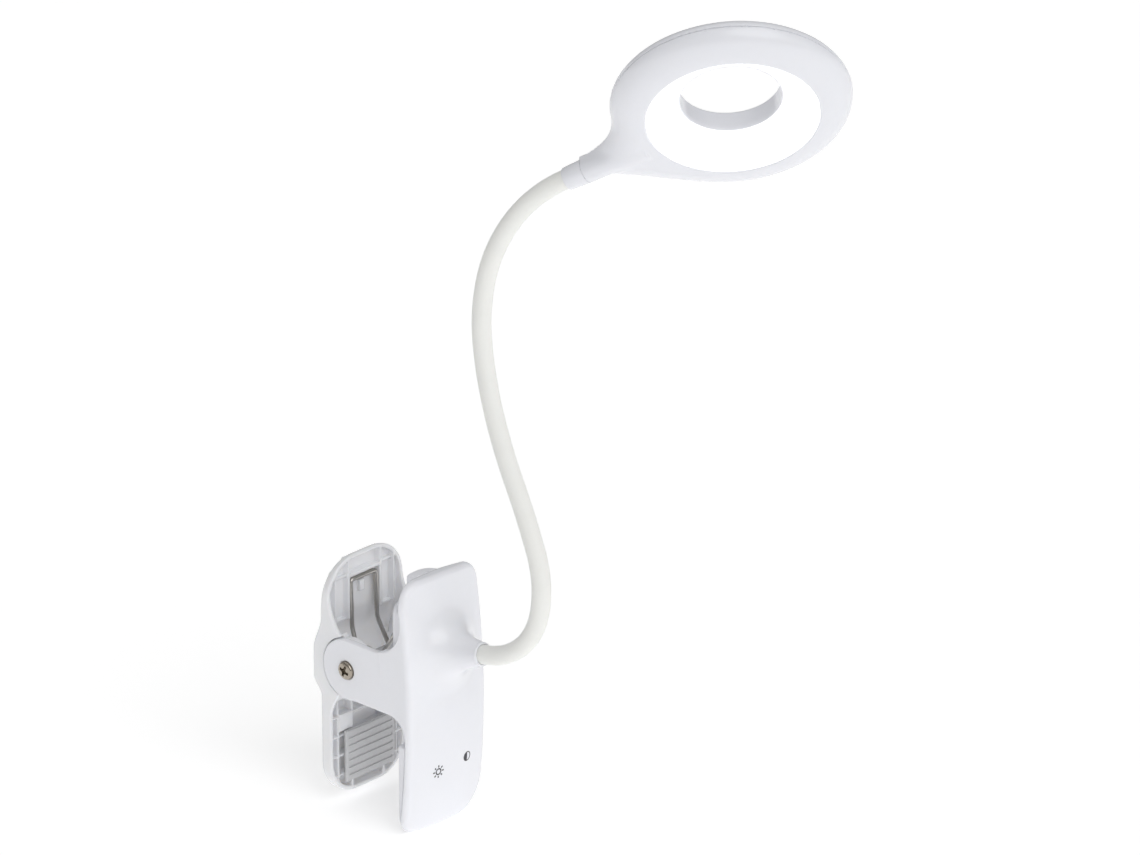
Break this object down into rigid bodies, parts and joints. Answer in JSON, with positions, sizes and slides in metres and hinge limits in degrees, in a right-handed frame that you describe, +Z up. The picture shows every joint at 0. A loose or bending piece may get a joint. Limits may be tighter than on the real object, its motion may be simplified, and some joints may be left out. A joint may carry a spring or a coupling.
{
  "type": "clip-on reading lamp",
  "caption": "Rechargeable clip-on reading lamp: sprung clip with a battery body, silicone-sleeved gooseneck and a ring-shaped light head with an open centre.",
  "frame": {"origin": "middle of the front jaw pad's gripping face", "axes": "+Y out of the front gripping face into what is held, +Z up along the clip towards the head, +X across the clip"},
  "size_m": [0.1089, 0.1778, 0.3355],
  "materials": {
    "shell_plastic": "gloss moulded ABS",
    "inner_plastic": "satin moulded ABS",
    "pad_rubber": "soft matt silicone",
    "neck_silicone": "matt silicone tube",
    "gooseneck_steel": "coiled steel",
    "lead_wire": "insulated lead",
    "small_screws": "zinc plated",
    "cell_foil": "foil pouch",
    "green_board": "solder mask",
    "spring_plate": "plated spring",
    "socket_metal": "nickel plated",
    "plated_steel": "zinc plated",
    "screw_nickel": "dark nickel",
    "spring_steel": "drawn wire",
    "diffuser_opal": "opal, lit",
    "white_board": "white solder mask",
    "led_phosphor": "phosphor"
  },
  "bodies": {
    "clip_body": {"front_shell": "shell_plastic", "inner_cover": "inner_plastic", "front_jaw_pad": "pad_rubber", "cover_screws": "small_screws", "battery": "cell_foil", "control_board": "green_board", "touch_springs": "spring_plate", "charging_socket": "socket_metal", "battery_leads": "lead_wire", "pivot_sleeve": "plated_steel", "pivot_screws": "screw_nickel", "torsion_spring": "spring_steel", "neck_ferrule": "plated_steel", "neck_nut": "plated_steel", "neck_sleeve_0": "neck_silicone", "neck_core_0": "gooseneck_steel", "neck_lead_0": "lead_wire"},
    "lever": {"rear_lever": "shell_plastic", "rear_jaw_pad": "pad_rubber"},
    "neck_link_1": {"neck_sleeve_1": "neck_silicone", "neck_core_1": "gooseneck_steel", "neck_lead_1": "lead_wire"},
    "neck_link_2": {"neck_sleeve_2": "neck_silicone", "neck_core_2": "gooseneck_steel", "neck_lead_2": "lead_wire"},
    "neck_link_3": {"neck_sleeve_3": "neck_silicone", "neck_core_3": "gooseneck_steel", "neck_lead_3": "lead_wire"},
    "neck_link_4": {"neck_sleeve_4": "neck_silicone", "neck_core_4": "gooseneck_steel", "neck_lead_4": "lead_wire"},
    "neck_link_5": {"neck_sleeve_5": "neck_silicone", "neck_core_5": "gooseneck_steel", "neck_lead_5": "lead_wire"},
    "neck_link_6": {"neck_sleeve_6": "neck_silicone", "neck_core_6": "gooseneck_steel", "neck_lead_6": "lead_wire"},
    "neck_link_7": {"neck_sleeve_7": "neck_silicone", "neck_core_7": "gooseneck_steel", "neck_lead_7": "lead_wire"},
    "head": {"neck_sleeve_8": "neck_silicone", "neck_core_8": "gooseneck_steel", "neck_lead_8": "lead_wire", "neck_collar": "shell_plastic", "head_ferrule": "plated_steel", "head_lead": "lead_wire", "head_top_shell": "shell_plastic", "head_bezel": "shell_plastic", "diffuser": "diffuser_opal", "led_board": "white_board", "led_chips": "led_phosphor"}
  },
  "joints": [
    {"name": "jaw_hinge", "type": "hinge", "parent": "clip_body", "child": "lever", "pos_m": [0, 0.025, 0.0375], "axis": [1, 0, 0], "range_deg": [-33, 22], "stiffness_Nm_per_rad": 0.6, "springref_deg": -51.57, "deforming": ["torsion_spring"]},
    {"name": "neck_bend_1", "type": "hinge", "parent": "clip_body", "child": "neck_link_1", "pos_m": [0, -0.04407, 0.06151], "axis": [-1, 0, 0], "range_deg": [-20, 20]},
    {"name": "neck_side_2", "type": "hinge", "parent": "neck_link_1", "child": "neck_link_2", "pos_m": [0, -0.05374, 0.07862], "axis": [0, 0.9816, 0.1908], "range_deg": [-20, 20]},
    {"name": "neck_bend_3", "type": "hinge", "parent": "neck_link_2", "child": "neck_link_3", "pos_m": [0, -0.05168, 0.10222], "axis": [-1, 0, 0], "range_deg": [-20, 20]},
    {"name": "neck_side_4", "type": "hinge", "parent": "neck_link_3", "child": "neck_link_4", "pos_m": [0.00023, -0.04091, 0.12586], "axis": [-0.0011, 0.883, -0.4695], "range_deg": [-20, 20]},
    {"name": "neck_bend_5", "type": "hinge", "parent": "neck_link_4", "child": "neck_link_5", "pos_m": [0.00091, -0.03034, 0.14958], "axis": [-0.9994, 0.0143, 0.0318], "range_deg": [-20, 20]},
    {"name": "neck_side_6", "type": "hinge", "parent": "neck_link_5", "child": "neck_link_6", "pos_m": [0.0018, -0.02385, 0.1747], "axis": [0.0092, 0.9876, -0.1566], "range_deg": [-20, 20]},
    {"name": "neck_bend_7", "type": "hinge", "parent": "neck_link_6", "child": "neck_link_7", "pos_m": [0.0042, -0.02366, 0.20048], "axis": [-0.9881, 0.0152, 0.1529], "range_deg": [-20, 20]},
    {"name": "neck_side_8", "type": "hinge", "parent": "neck_link_7", "child": "head", "pos_m": [0.00999, -0.03213, 0.22416], "axis": [0.1221, 0.8647, 0.4873], "range_deg": [-20, 20]}
  ]
}
